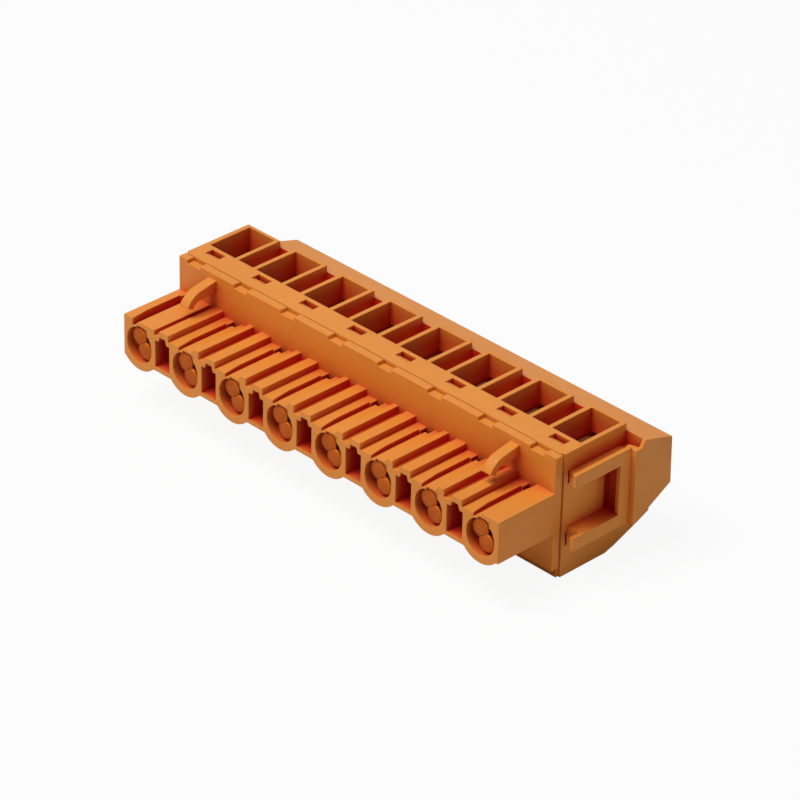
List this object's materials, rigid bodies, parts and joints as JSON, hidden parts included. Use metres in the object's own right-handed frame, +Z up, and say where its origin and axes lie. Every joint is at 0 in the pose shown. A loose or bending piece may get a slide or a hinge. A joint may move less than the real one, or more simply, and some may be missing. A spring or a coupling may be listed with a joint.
{
  "type": "pluggable terminal block",
  "caption": "Female pluggable terminal block with spring clamps, tool windows on top, locking hooks over the mating tubes and an end guide.",
  "frame": {"origin": "middle of the bounding box at the height of the flat bottom face", "axes": "+X along the row of poles towards the end with the guide, -Y the way the plug is pushed onto its header, +Z up through the tool windows"},
  "size_m": [0.0614, 0.0234, 0.0153],
  "materials": {
    "front_plastic": "fine satin moulding",
    "rear_plastic": "fine satin moulding",
    "contact_copper": "matt bare copper alloy",
    "spring_steel": "rolled strip"
  },
  "bodies": {
    "plug": {"front_housing": "front_plastic", "rear_housing": "rear_plastic", "contact_1": "contact_copper", "contact_2": "contact_copper", "contact_3": "contact_copper", "contact_4": "contact_copper", "contact_5": "contact_copper", "contact_6": "contact_copper", "contact_7": "contact_copper", "contact_8": "contact_copper"},
    "clamp_spring_1": {"clamp_spring_1": "spring_steel"},
    "clamp_spring_2": {"clamp_spring_2": "spring_steel"},
    "clamp_spring_3": {"clamp_spring_3": "spring_steel"},
    "clamp_spring_4": {"clamp_spring_4": "spring_steel"},
    "clamp_spring_5": {"clamp_spring_5": "spring_steel"},
    "clamp_spring_6": {"clamp_spring_6": "spring_steel"},
    "clamp_spring_7": {"clamp_spring_7": "spring_steel"},
    "clamp_spring_8": {"clamp_spring_8": "spring_steel"}
  },
  "joints": [
    {"name": "press_1", "type": "hinge", "parent": "plug", "child": "clamp_spring_1", "pos_m": [-0.02806, 0.00078, 0.0071], "axis": [-1, 0, 0], "range_deg": [0, 15], "stiffness_Nm_per_rad": 0.4},
    {"name": "press_2", "type": "hinge", "parent": "plug", "child": "clamp_spring_2", "pos_m": [-0.02043, 0.00078, 0.0071], "axis": [-1, 0, 0], "range_deg": [0, 15], "stiffness_Nm_per_rad": 0.4},
    {"name": "press_3", "type": "hinge", "parent": "plug", "child": "clamp_spring_3", "pos_m": [-0.01282, 0.00078, 0.0071], "axis": [-1, 0, 0], "range_deg": [0, 15], "stiffness_Nm_per_rad": 0.4},
    {"name": "press_4", "type": "hinge", "parent": "plug", "child": "clamp_spring_4", "pos_m": [-0.00519, 0.00078, 0.0071], "axis": [-1, 0, 0], "range_deg": [0, 15], "stiffness_Nm_per_rad": 0.4},
    {"name": "press_5", "type": "hinge", "parent": "plug", "child": "clamp_spring_5", "pos_m": [0.00243, 0.00078, 0.0071], "axis": [-1, 0, 0], "range_deg": [0, 15], "stiffness_Nm_per_rad": 0.4},
    {"name": "press_6", "type": "hinge", "parent": "plug", "child": "clamp_spring_6", "pos_m": [0.01005, 0.00078, 0.0071], "axis": [-1, 0, 0], "range_deg": [0, 15], "stiffness_Nm_per_rad": 0.4},
    {"name": "press_7", "type": "hinge", "parent": "plug", "child": "clamp_spring_7", "pos_m": [0.01767, 0.00078, 0.0071], "axis": [-1, 0, 0], "range_deg": [0, 15], "stiffness_Nm_per_rad": 0.4},
    {"name": "press_8", "type": "hinge", "parent": "plug", "child": "clamp_spring_8", "pos_m": [0.02528, 0.00078, 0.0071], "axis": [-1, 0, 0], "range_deg": [0, 15], "stiffness_Nm_per_rad": 0.4}
  ]
}
